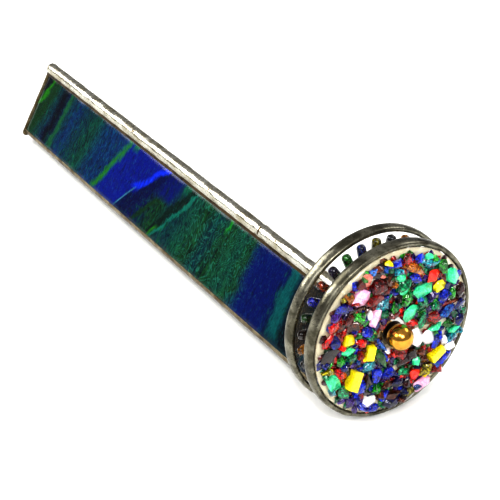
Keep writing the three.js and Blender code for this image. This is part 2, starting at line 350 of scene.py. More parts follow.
def metal(name, bright, dull, stain, roughness, lump_scale, lump_depth, patina_and_shade_flank=None):
    """Hand-worked metal that is dull in places and stained in a few. The optional last argument is the
    colour of its +Y flank: tan patina with painted shade on the side turned from the main lights.
    """
    look = Look(name, Metallic=1.0)
    cloudy = look.noise(0.16, 4, 0.6, 0.6)
    speckled = look.noise(1.3, 4, 0.65)
    shade = look.mix(look.ramp(cloudy, (0.38, 0.0), (0.62, 1.0)), bright, dull)
    shade = look.mix(look.ramp(speckled, (0.56, 0.0), (0.72, 0.8)), shade, stain)
    # Painted shade: the +Y flank, turned from the main lights, is darkened to tan, partly patina.
    if patina_and_shade_flank:
        flank = look.over(look.dot((0, 1, 0)), RIDGE_RADIUS)
        ragged = look.plus(flank, look.times(look.minus(speckled, 0.5), 1.6))
        shade = look.mix(look.ramp(ragged, (0.15, 0.0), (0.6, 0.85)), shade, patina_and_shade_flank)
    look.set(Base_Color=shade)
    low, high = roughness
    look.set(Roughness=look.ramp(look.noise(0.5, 4, 0.6), (0.3, low), (0.7, high)))
    lumps = look.plus(look.noise(lump_scale, 3), look.times(speckled, 0.15))
    look.bump(lumps, lump_depth, 0.8)
    return look.material


def solder_look():
    """The ridge bead's silvery solder, with tan patina and painted shade on its +Y flank."""
    bright, dull, stain = color(196, 194, 184), color(160, 154, 134), color(80, 70, 50)
    return metal("solder", bright, dull, stain, (0.14, 0.34), 0.35, 0.18 * MM, patina_and_shade_flank=color(116, 104, 74))


def foil_look():
    """The dark copper foil that shows along the beads' edges."""
    bright, dull, stain = color(84, 68, 42), color(44, 34, 22), color(120, 104, 76)
    return metal("foil_edge", bright, dull, stain, (0.3, 0.5), 0.8, 0.1 * MM)


def seam_look():
    """The low seams and the end frames, browner than the ridge."""
    bright, dull, stain = color(140, 130, 106), color(92, 78, 52), color(40, 32, 20)
    return metal("seam", bright, dull, stain, (0.25, 0.45), 0.5, 0.12 * MM)


def came_look():
    """The wheels' rims of grey lead-like channel."""
    bright, dull, stain = color(146, 143, 128), color(84, 81, 68), color(44, 41, 31)
    return metal("came", bright, dull, stain, (0.2, 0.4), 0.3, 0.16 * MM)


def steel_look():
    bright, dull, stain = color(96, 90, 84), color(50, 46, 44), color(120, 104, 84)
    return metal("dark_steel", bright, dull, stain, (0.3, 0.5), 1.0, 0.05 * MM)


def brass_look(name, tone, roughness):
    look = Look(name, Metallic=1.0, Roughness=roughness)
    tarnish = look.ramp(look.noise(0.5, 4, 0.6, 0.5), (0.45, 0.0), (0.75, 0.55))
    look.set(Base_Color=look.mix(tarnish, tone, color(120, 74, 22)))
    look.bump(look.noise(2.0, 2, stretch=(4, 1, 1)), 0.03 * MM, 0.5)
    return look.material


def clear_look(name, tint, alpha, roughness=0.03):
    look = Look(name, IOR=1.5, Roughness=roughness, Alpha=alpha, Coat_Weight=0.5, Coat_Roughness=0.02)
    smears = look.ramp(look.noise(0.12, 3), (0.35, 0.0), (0.8, 0.4))
    look.set(Base_Color=look.mix(smears, tint, color(240, 234, 214)))
    look.bump(look.noise(0.1, 2), 0.05 * MM, 0.3)
    return look.material


OPAQUE = 0.1  # glass that lets through less than this shows little inside


def chip_look(name, shade, second, transmission, roughness=0.05):
    """Chip glass: two shades swirl inside each chip, noise patches lay painted shade, painted inner light
    and white painted glints over them, and no two chips are equally deep."""
    look = Look(name, IOR=1.5, Roughness=roughness, Coat_Weight=0.6, Coat_Roughness=0.0)
    look.set(Transmission_Weight=transmission)
    swirl = look.ramp(look.noise(0.45, 3, 0.6, 1.6), (0.4, 0.0), (0.6, 1.0))
    body = look.mix(swirl, shade, second)
    # Painted light: this noise sets where a chip is darkened as painted shade, brightened as painted inner
    # light and whitened as painted glints.
    painted_light_and_shade = look.noise(0.75, 4, 0.66, 2.2, shift=(3, 0, 0))
    # how strongly the painted light and shade show: fully on clear chips, faintly on opaque ones
    depth = 1.0 if transmission > OPAQUE else 0.3
    # painted-shade and painted-light copies of the chip's colour
    dark = look.mix(1.0, body, (0.22, 0.22, 0.26, 1), "MULTIPLY")
    bright = look.mix(1.0, body, (2.6, 2.6, 2.4, 1), "MULTIPLY")
    body = look.mix(look.ramp(painted_light_and_shade, (0.4, 0.95 * depth), (0.5, 0.0)), body, dark)
    body = look.mix(look.ramp(painted_light_and_shade, (0.55, 0.0), (0.62, 0.9 * depth)), body, bright)
    # white painted glints
    body = look.mix(look.ramp(painted_light_and_shade, (0.66, 0.0), (0.72, 0.85 * depth)), body, color(236, 244, 246))
    island = look.node("ShaderNodeNewGeometry").outputs["Random Per Island"]
    darkest = 0.35 if transmission > OPAQUE else 0.75
    deep = look.mix(1.0, body, look.ramp(island, (0.0, darkest), (0.5, 1.0)), "MULTIPLY")
    look.set(Base_Color=deep)
    look.bump(look.noise(0.8, 3, 0.5, 0.8), 0.22 * MM, 0.7)
    return look.material


def dull_look(name, shade, second, roughness, grain):
    look = Look(name, Roughness=roughness)
    mottled = look.noise(grain, 4, 0.65)
    look.set(Base_Color=look.mix(look.ramp(mottled, (0.35, 0.0), (0.65, 1.0)), shade, second))
    look.bump(mottled, 0.1 * MM, 0.7)
    return look.material


def mirror_look():
    look = Look("mirror_glass", Metallic=1.0)
    look.set(Base_Color=color(232, 236, 238))
    dust = look.ramp(look.noise(0.6, 4, 0.7), (0.6, 0.02), (0.85, 0.12))
    look.set(Roughness=dust)
    return look.material


SOLDER = solder_look()
FOIL = foil_look()
SEAM = seam_look()
CAME = came_look()
BRASS = brass_look("brass", color(226, 172, 78), 0.18)
DARK_STEEL = steel_look()
RUBBER = dull_look("rubber", color(20, 20, 20), color(42, 40, 38), 0.7, 1.5)
FOAM = dull_look("foam", color(34, 34, 36), color(58, 58, 60), 0.95, 1.8)
BLACK_GLASS = dull_look("black_glass", color(8, 8, 10), color(18, 20, 26), 0.12, 0.2)
CLEAR = clear_look("clear_glass", color(226, 204, 150), 0.07)
RESIN = clear_look("clear_resin", color(248, 238, 206), 0.55, 0.1)

# --- Body ---

LEFT, RIGHT, BASE = math.radians(30), math.radians(150), math.radians(270)  # faces, seen from +X
RIDGE, RIGHT_CORNER, LEFT_CORNER = math.radians(90), math.radians(210), math.radians(330)
GROUND_EDGE = 0.5 * MM
FOIL_LIP = 0.66 * MM  # how far the ridge's foil laps onto the glass
LOW_LIP = 0.45 * MM
BASE_LIP = 0.9 * MM
LOW_CORNER = 2.1 * MM  # radius of the low seams
LOW_REACH = 2 * (OUTER_INRADIUS - LOW_CORNER)
PANEL_STEP = 1.6 * MM
BEAD_STEP = 0.8 * MM
WRINKLE_PLACE = BODY_FRONT - 57 * MM  # a fold left in the ridge bead
WRINKLE_DEPTH = 0.16 * MM


def case_point(x, face, out, along):
    """A point `out` from the body's middle line and `along` a face, anticlockwise seen from +X."""
    y = out * math.cos(face) - along * math.sin(face)
    z = out * math.sin(face) + along * math.cos(face)
    return Vector((x, y, MIDDLE_Z + z))


def stations(start, end, step):
    count = max(2, round((end - start) / step))
    return [start + (end - start) * index / count for index in range(count + 1)]


def ripple(x, along, seed, size):
    """Smooth uneven height of hand-rolled glass, up to about `size`."""
    place = Vector((x / (9 * MM), along / (6 * MM), seed))
    return size * noise.noise(place)


def glass_panel(name, node, face, low, high, material, seed):
    """One strip of the case, its outer face gently rolled and its edges ground round."""
    edge = GROUND_EDGE
    outer_steps = 16
    back = [
        (OUTER_INRADIUS - edge * 0.3, high - edge * 0.3), (OUTER_INRADIUS - edge, high),
        (CASE_INRADIUS, high), (CASE_INRADIUS, low),
        (OUTER_INRADIUS - edge, low), (OUTER_INRADIUS - edge * 0.3, low + edge * 0.3),
    ]
    rings = []
    for x in stations(PANEL_BACK, PANEL_FRONT, PANEL_STEP):
        from_end = min(x - PANEL_BACK, PANEL_FRONT - x)
        sink = edge * max(0, 1 - from_end / edge)
        ring = []
        for step in range(outer_steps + 1):
            along = low + edge + (high - low - 2 * edge) * step / outer_steps
            out = OUTER_INRADIUS - 0.06 * MM + ripple(x, along, seed, 0.12 * MM) - sink
            ring.append(case_point(x, face, out, along))
        ring += [case_point(x, face, out, along) for out, along in back]
        rings.append(ring)
    piece(loft(name, rings), "body", node, material=material)


def bead(name, node, section, seed, rough, material, wrinkle=None):
    """A solder seam. section(x) gives its outline as (point, direction it may swell in) pairs."""
    rings = []
    for x in stations(BODY_BACK + 0.2 * MM, BODY_FRONT, BEAD_STEP):
        ring = []
        for index, (point, swell) in enumerate(section(x)):
            place = Vector((x / (7 * MM), index * 0.35, seed))
            lump = rough * (noise.noise(place) + 0.5 * noise.noise(place * 3.1))
            if wrinkle:
                where, depth = wrinkle
                lump -= depth * math.exp(-(((x - where) / (0.9 * MM)) ** 2))
                lump += depth * 0.7 * math.exp(-(((x - where - 1.8 * MM) / (1.0 * MM)) ** 2))
            ring.append(point + swell * lump)
        rings.append(ring)
    made = piece(loft(name, rings), "body", node, material=material)
    made.data.materials.append(FOIL)
    return made


def mark_foil(made, limit):
    """Gives the foil material to the faces that `limit` says lie on the glass."""
    for face in made.data.polygons:
        if limit(face.center):
            face.material_index = 1


FLAT = Vector((0, 0, 0))  # for a point that doesn't swell


def other_side(point):
    return Vector((point.x, -point.y, point.z))


def ridge_section(x):
    """Round bead on top, with a thin lip of foil that laps onto each side strip."""
    centre = Vector((x, 0, AXLE_Z))
    lip_start = SIDE_TOP - FOIL_LIP
    edge = [(-0.3 * MM, -lip_start), (0.12 * MM, -lip_start - 0.05 * MM), (0.2 * MM, -SIDE_TOP + 0.25 * MM)]
    right = [(case_point(x, RIGHT, OUTER_INRADIUS + out, along), FLAT) for out, along in edge]
    arc = []
    for step in range(19):
        direction = outwards(math.radians(-22 + 224 * step / 18))
        arc.append((centre + direction * (RIDGE_RADIUS + 0.05 * MM), direction))
    left = [(other_side(point), FLAT) for point, _ in right]
    return [*right, *reversed(arc), *reversed(left)]


def low_section(side):
    """Seam along a bottom edge: lips on the side strip and on the base strip, and a round corner."""

    def section(x):
        side_lip = SIDE_BOTTOM + LOW_LIP
        base_edge = CASE_SIDE / 2 - GAP
        base_lip = base_edge - BASE_LIP
        corner = case_point(x, RIGHT_CORNER, LOW_REACH, 0)
        lip = [
            (-0.3 * MM, -side_lip), (0.12 * MM, -side_lip + 0.05 * MM),
            (0.14 * MM, -SIDE_BOTTOM - 0.1 * MM),
        ]
        points = [(case_point(x, RIGHT, OUTER_INRADIUS + out, along), FLAT) for out, along in lip]
        for step in range(9):
            direction = outwards(math.radians(158 + 104 * step / 8))
            points.append((corner + direction * LOW_CORNER, direction))
        lip = [(0.08 * MM, -base_edge + 0.1 * MM), (0.06 * MM, -base_lip), (-0.4 * MM, -base_lip)]
        points += [(case_point(x, BASE, OUTER_INRADIUS + out, along), FLAT) for out, along in lip]
        points.append((case_point(x, RIGHT_CORNER, 2 * CASE_INRADIUS - 0.6 * MM, 0), FLAT))
        if side == "left":
            points = [(other_side(point), other_side(swell)) for point, swell in points]
        return points

    return section


def triangle_outline(x, inradius, corner_radius, steps=8):
    """A triangle round the body's middle line with rounded corners, as a ring of points."""
    ring = []
    for corner in (RIDGE, RIGHT_CORNER, LEFT_CORNER):
        reach = 2 * (inradius - corner_radius)
        centre = Vector((x, reach * math.cos(corner), MIDDLE_Z + reach * math.sin(corner)))
        for step in range(steps + 1):
            angle = corner - math.pi / 3 + 2 * math.pi / 3 * step / steps
            ring.append(centre + corner_radius * outwards(angle))
        following = corner + 2 * math.pi / 3
        after = Vector((x, reach * math.cos(following), MIDDLE_Z + reach * math.sin(following)))
        start = ring[-1]
        angle = following - math.pi / 3
        end = after + corner_radius * outwards(angle)
        for step in range(1, steps * 2):
            ring.append(start.lerp(end, step / (steps * 2)))
    return ring


def end_frame(name, node, outside, inside, seed):
    """The lumpy solder frame over one end of the body. `outside` is the x of its open face."""
    way = 1 if outside > inside else -1
    depth = abs(outside - inside) + GAP
    layers = [
        (inside - way * GAP, OUTER_INRADIUS + 0.1 * MM, 1.3 * MM),
        (outside - way * depth * 0.35, OUTER_INRADIUS + 0.16 * MM, 1.4 * MM),
        (outside - way * 0.05 * MM, OUTER_INRADIUS - 0.25 * MM, 1.2 * MM),
        (outside, OUTER_INRADIUS - 0.9 * MM, 1.0 * MM),
        (outside - way * 0.05 * MM, CASE_INRADIUS - 0.5 * MM, 0.8 * MM),
        (outside - way * depth * 0.4, CASE_INRADIUS - 1.0 * MM, 0.6 * MM),
        (inside - way * GAP, CASE_INRADIUS - 1.0 * MM, 0.6 * MM),
    ]
    rings = []
    for layer, (x, inradius, corner_radius) in enumerate(layers):
        ring = []
        for point in triangle_outline(x, inradius, corner_radius):
            place = Vector((point.y / (3 * MM), point.z / (3 * MM), seed + layer * 0.4))
            lump = 0.14 * MM * noise.noise(place) if 0 < layer < len(layers) - 1 else 0
            away = (point - Vector((x, 0, MIDDLE_Z))).normalized()
            ring.append(point + Vector((0.4 * lump * way, 0, 0)) + lump * away)
        rings.append(ring)
    piece(loft(name, rings, closed=True), "body", node, material=SEAM)


NIGHT = color(5, 5, 16)
NAVY = color(2, 8, 62)
DEEP_BLUE = color(3, 20, 88)
SEA_BLUE = color(4, 38, 84)
TEAL = color(5, 44, 56)
SEA_GREEN = color(8, 56, 46)
MOSS = color(14, 50, 22)
COBALT = color(3, 20, 118)
ELECTRIC = color(6, 44, 196)
LEAF = color(34, 112, 16)
JADE = color(14, 104, 88)
ICE = color(60, 118, 140)

RIGHT_BANDS = [
    (-121, NIGHT), (-113, MOSS), (-107, TEAL), (-102, NAVY), (-96, TEAL), (-90, SEA_BLUE), (-80, TEAL),
    (-72, SEA_GREEN), (-64, SEA_BLUE), (-50, SEA_BLUE), (-30, NAVY), (-21, NAVY), (-13, MOSS),
    (-4, TEAL), (6, SEA_GREEN), (14, MOSS), (19, TEAL), (27, MOSS), (37, SEA_GREEN), (43, MOSS),
    (50, DEEP_BLUE), (62, NAVY), (75, TEAL), (99, NAVY),
]
RIGHT_STREAKS = [
    (NIGHT, (-130, 0.3), (-116, 0.3), 3, -5, 16),
    (LEAF, (-119.6, 0.55), (-116.8, 0.5), 1.5, -3, 14),
    (MOSS, (-115.5, 0.4), (-110, 0.3), 3, -14, 14),
    (NIGHT, (-104.5, 0.05), (-99.5, 0.1), 3, -14, 14),
    (color(24, 84, 48), (-98.6, 0.12, 0.008), (-96.4, 0.12, 0.008), 1.6, -14, 14),
    (COBALT, (-50.5, 0.35), (-27.5, 1.1, 0.01), 2.0, -14, 14),
    (ELECTRIC, (-31, 1.1, 0.01), (-27.6, 1.1, 0.01), 2.4, -3, 14),
    (LEAF, (-51.4, 0.55), (-49.0, 0.55), 2.2, -14, 14),
    (color(16, 96, 60), (-44, 0.3), (-40, 0.3), 1.5, 8, 14),
    (NAVY, (-27, 1.1, 0.01), (-20, 0.95), 1.5, -14, 14),
    (ICE, (-29.8, 0.8), (-29.0, 0.8), 0.4, -13.5, -1),
    (MOSS, (-16.4, 0.85), (-13.6, 0.85), 1.5, -14, 7),
    (color(3, 14, 92), (-19, 0.55), (-6.4, 0.2), 4.0, 0, 16),
    (color(10, 90, 66), (-5, 0.2), (-0.6, 0.2), 1.5, 7, 14),
    (color(6, 30, 20), (-6.6, 0.7), (-2.8, 0.7), 1.2, -14, 14),
    (LEAF, (-4.4, 0.7), (-3.0, 0.7), 1.2, -14, -7),
    (JADE, (-2.6, 0.7), (-1.2, 0.7), 0.8, -14, 14),
    (color(18, 122, 26), (25.2, 0.22), (26.7, 0.22), 1.0, 5, 14),
    (DEEP_BLUE, (46, 0.0), (63, 0.0), 3, -14, 14),
    (color(6, 84, 84), (64.2, -0.1, 0.006), (69.6, -0.1, 0.006), 2.0, -12, 14),
    (NIGHT, (70.5, -0.1, 0.006), (84, 0), 3, -14, 14),
]
LEFT_STREAKS = [
    (LEAF, (-93, -0.6), (-90.5, -0.6), 1.6, -14, 14),
    (COBALT, (-80, -0.7), (-60, -0.9, 0.01), 2.4, -14, 14),
    (ELECTRIC, (-63, -0.9, 0.01), (-60, -0.9, 0.01), 2.4, -6, 14),
    (JADE, (-55.6, -0.7), (-54.4, -0.7), 0.9, -13, 14),
    (NIGHT, (-40, 0.2), (-28, 0.4), 4, -14, 14),
    (MOSS, (-16, 0.5, 0.02), (-10, 0.5, 0.02), 2, -14, 13),
    (COBALT, (14, 0.6), (30, 0.3), 2.4, -14, 14),
    (LEAF, (31, 0.4), (33.4, 0.4), 1.6, -6, 13),
    (JADE, (73, -0.3), (74.6, -0.3), 1, -13, 13),
]
BASE_STREAKS = [
    (JADE, (-100, 0.3), (-98, 0.3), 1, -12, 12),
    (COBALT, (-48, -0.8, 0.01), (-30, -0.6), 2.4, -12, 12),
    (LEAF, (-29, -0.6), (-26.4, -0.6), 1.6, -12, 12),
    (MOSS, (24, 0.4), (32, 0.4), 3, -12, 12),
    (COBALT, (60, 0.5), (72, 0.5), 2.4, -12, 12),
]


def up_the_face(face):
    """Direction along a face, upwards on the sides and towards -Y on the base."""
    sign = -1 if face == RIGHT else 1
    return Vector((0, -math.sin(face), math.cos(face))) * sign


def mirrored(bands):
    """The same bands in the other order along the body."""
    start, end = bands[0][0], bands[-1][0]
    return [(start + end - x, shade) for x, shade in reversed(bands)]


def build_panels():
    others = mirrored(RIGHT_BANDS)
    right_glass = art_glass("right_art_glass", up_the_face(RIGHT), RIGHT_BANDS, RIGHT_STREAKS, (0, 50), 1.0)
    left_glass = art_glass("left_art_glass", up_the_face(LEFT), others, LEFT_STREAKS, (-50, 10), 4.0)
    base_glass = art_glass("base_art_glass", up_the_face(BASE), others, BASE_STREAKS, (-20, 50), 7.0)
    half_base = span("base_panel", 1)[1]
    glass_panel("right_strip", "right_panel", RIGHT, -SIDE_TOP, -SIDE_BOTTOM, right_glass, 2.0)
    glass_panel("left_strip", "left_panel", LEFT, SIDE_BOTTOM, SIDE_TOP, left_glass, 5.0)
    glass_panel("base_strip", "base_panel", BASE, -half_base, half_base, base_glass, 8.0)


def build_seams():
    wrinkle = (WRINKLE_PLACE, WRINKLE_DEPTH)
    ridge = bead("ridge_bead", "ridge_seam", ridge_section, 3.0, 0.13 * MM, SOLDER, wrinkle)
    mark_foil(ridge, lambda c: Vector((0, c.y, c.z - AXLE_Z)).length > RIDGE_RADIUS + 0.12 * MM)
    for side in ("right", "left"):
        seam = bead(f"{side}_bead", f"{side}_seam", low_section(side), 6.0, 0.08 * MM, SEAM)
        corner = case_point(0, RIGHT_CORNER, LOW_REACH, 0)
        mark_foil(seam, lambda c: Vector((0, abs(c.y) + corner.y, c.z - corner.z)).length > 2.5 * MM)
    front_inside = span("front_end_seam", 0)[0]
    back_inside = span("rear_end_seam", 0)[1]
    end_frame("front_frame", "front_end_seam", BODY_FRONT, front_inside, 1.0)
    end_frame("rear_frame", "rear_end_seam", BODY_BACK, back_inside, 9.0)


def build_cushions():
    """The foam strips that hold the mirrors in the corners of the case."""
    for name in ("ridge", "right", "left"):
        node = f"{name}_cushion"
        (x0, y0, z0), (x1, y1, z1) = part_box(node)
        centre_y, centre_z, radius = (y0 + y1) / 2, (z0 + z1) / 2, (z1 - z0) / 2
        rings = []
        for x in stations(x0, x1, 3 * MM):
            ring = []
            for step in range(12):
                angle = 2 * math.pi * step / 12
                place = Vector((x / (2 * MM), step, centre_y / MM))
                reach = radius * (0.92 + 0.08 * noise.noise(place))
                y, z = centre_y + reach * math.cos(angle), centre_z + reach * math.sin(angle)
                ring.append(Vector((x, y, z)))
            rings.append(ring)
        foam = piece(loft(f"{name}_foam", rings), "body", node, material=FOAM)


def dress(node, material, bevel=0.0):
    """A better material for a CAD node whose shape is right."""
    made = frame["nodes"][node]
    made.data.materials.clear()
    made.data.materials.append(material)
    if bevel:
        add_bevel(made, bevel)


def build_body():
    build_panels()
    build_seams()
    build_cushions()
    silver = mirror_look()
    for node in ("right_mirror", "left_mirror", "base_mirror"):
        dress(node, silver, 0.1 * MM)
    dress("front_window", CLEAR, 0.2 * MM)
    dress("eyepiece_lens", CLEAR, 0.15 * MM)
    dress("eyepiece_plate", BLACK_GLASS, 0.15 * MM)


# --- Axle ---


RING_SIDES = 48


def ring_piece(name, node, body, inner, material, edge):
    """A washer, bush or tube with eased edges, as long and as wide as its CAD node."""
    start, end = span(node, 0)
    outer = span(node, 1)[1]
    corners = [(start, inner), (start, outer), (end, outer), (end, inner)]
    profile = [(point.x, point.y) for point in rounded([Vector(c) for c in corners], edge)]
    piece(turned(name, profile, RING_SIDES), body, node, material=material)


def build_axle():
    ring_piece("rear_washer_ring", "rear_washer", "body", AXLE_RADIUS + GAP, RUBBER, 0.25 * MM)
    ring_piece("spacer_tube", "wheel_spacer", "body", AXLE_RADIUS + GAP, BRASS, 0.25 * MM)
    ring_piece("front_washer_ring", "front_washer", "body", AXLE_RADIUS + GAP, DARK_STEEL, 0.12 * MM)
    start, end = span("axle_rod", 0)
    edge = 0.3 * MM
    shaft = [
        (start, 0), (start, AXLE_RADIUS - edge), (start + edge, AXLE_RADIUS), (end - edge, AXLE_RADIUS),
        (end, AXLE_RADIUS - edge), (end, 0),
    ]
    piece(turned_solid("axle_shaft", shaft, 32), "body", "axle_rod", material=BRASS)
    build_ball()


def build_ball():
    seat, tip = span("ball_nut", 0)
    radius = span("ball_nut", 1)[1]
    centre = tip - radius
    hole = AXLE_RADIUS + GAP
    bottom = centre + 1.3 * MM  # of the blind hole
    profile = [(bottom, 0), (bottom, hole), (seat + 0.3 * MM, hole), (seat, hole + 0.3 * MM)]
    seat_angle = math.acos((seat - centre) / radius)
    steps = 28
    for step in range(steps):
        angle = seat_angle * (1 - step / steps)
        profile.append((centre + radius * math.cos(angle), radius * math.sin(angle)))
    profile.append((tip, 0))
    piece(turned_solid("brass_ball", profile, 64), "body", "ball_nut", material=BRASS)


# --- Wheels ---

RIM_SIDES = 192
RIM_JOINT = math.radians(222)  # where a rim's two ends are soldered together
FRONT_TURN = 0.25  # how much further round the front rim's joint lies
BED_DEPTH = 0.8 * MM
FILLER_COUNT = 420
CHIP_BEVEL = 0.3 * MM


def rim_profile(start):
    """The rolled channel of a rim: round outside, with two lips that grip the disc."""
    lip = 1.6 * MM
    wall = 0.65 * MM
    inner = RIM_RADIUS - lip
    web = RIM_RADIUS - wall
    half = RIM_WIDTH / 2
    points = []
    for step in range(13):
        angle = math.pi * (1 - step / 12)
        bulge = math.sin(angle) ** 0.55 if 0 < step < 12 else 0
        points.append((start + half + half * math.cos(angle), RIM_RADIUS - 1.15 * MM * (1 - bulge)))
    lip_line = [(0.05 * MM, inner + 0.15 * MM), (wall / 2, inner), (wall, inner + 0.15 * MM), (wall, web)]
    points += [(start + RIM_WIDTH - inwards, radius) for inwards, radius in lip_line]
    points += [(start + inwards, radius) for inwards, radius in reversed(lip_line)]
    return points


def build_rim(name, node, body, joint_angle, seed):
    start = span(node, 0)[0]

    def shift(x, radius, angle):
        place = Vector((3.2 * math.cos(angle), 3.2 * math.sin(angle), seed + (x - start) / (3 * MM)))
        fine = Vector((14 * math.cos(angle), 14 * math.sin(angle), seed + radius / MM))
        dent = 0.05 * MM * noise.noise(place) + 0.03 * MM * noise.noise(fine)
        turn = (angle - joint_angle + math.pi) % (2 * math.pi) - math.pi
        lump = 0.35 * MM * math.exp(-((turn / 0.07) ** 2)) if radius > RIM_RADIUS - 1.2 * MM else 0
        way = 1 if x > start + RIM_WIDTH / 2 else -1
        return way * lump * 0.6, dent + lump * 0.3

    piece(turned(name, rim_profile(start), RIM_SIDES, shift), body, node, material=CAME)


ROD_TRANSMISSION = 0.12


def rod_looks():
    shades = {
        "rod_black": ((4, 4, 6), (16, 18, 26)),
        "rod_olive": ((14, 14, 4), (120, 112, 16)),
        "rod_navy": ((3, 5, 24), (16, 40, 120)),
        "rod_green": ((3, 14, 5), (26, 110, 20)),
        "rod_purple": ((6, 4, 12), (34, 22, 60)),
        "rod_orange_brown": ((20, 6, 3), (140, 50, 8)),
        "rod_blue": ((3, 6, 44), (10, 22, 150)),
        "rod_dark_green": ((4, 18, 8), (34, 72, 28)),
        "rod_brown": ((12, 5, 5), (50, 24, 18)),
        "rod_amber": ((50, 26, 4), (170, 110, 12)),
    }
    looks = {}
    for slot, (dark, light) in shades.items():
        looks[slot] = chip_look(slot, color(*dark), color(*light), ROD_TRANSMISSION)
    return looks


def build_rods():
    low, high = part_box("glass_rod_01")
    radius = (high[0] - low[0]) / 2
    inner, outer = low[2] - AXLE_Z, high[2] - AXLE_Z
    rods = [node for node in frame["nodes"] if node.startswith("glass_rod_")]
    looks = rod_looks()
    for index, node in enumerate(sorted(rods)):
        slot = SLOT_OF[node]
        turn = Matrix.Rotation(2 * math.pi * index / len(rods), 4, "X")
        rings = []
        for step in range(25):
            share = step / 24
            along = inner + (outer - inner) * share
            from_end = min(along - inner, outer - along)
            rise = max(0.0, 1 - from_end / radius)
            reach = radius * math.sqrt(max(0.0, 1 - rise**2)) + 0.02 * MM
            ring = []
            for side in range(16):
                angle = 2 * math.pi * side / 16
                place = Vector((index * 3.7, along / (2.5 * MM), side * 0.4))
                uneven = reach * (1 + 0.03 * noise.noise(place))
                offset = Vector((uneven * math.cos(angle), uneven * math.sin(angle), along))
                point = turn @ offset
                ring.append(Vector((low[0] + radius + point.x, point.y, AXLE_Z + point.z)))
            rings.append(ring)
        piece(loft(node.replace("glass_", ""), rings), "rear_wheel", node, material=looks[slot])


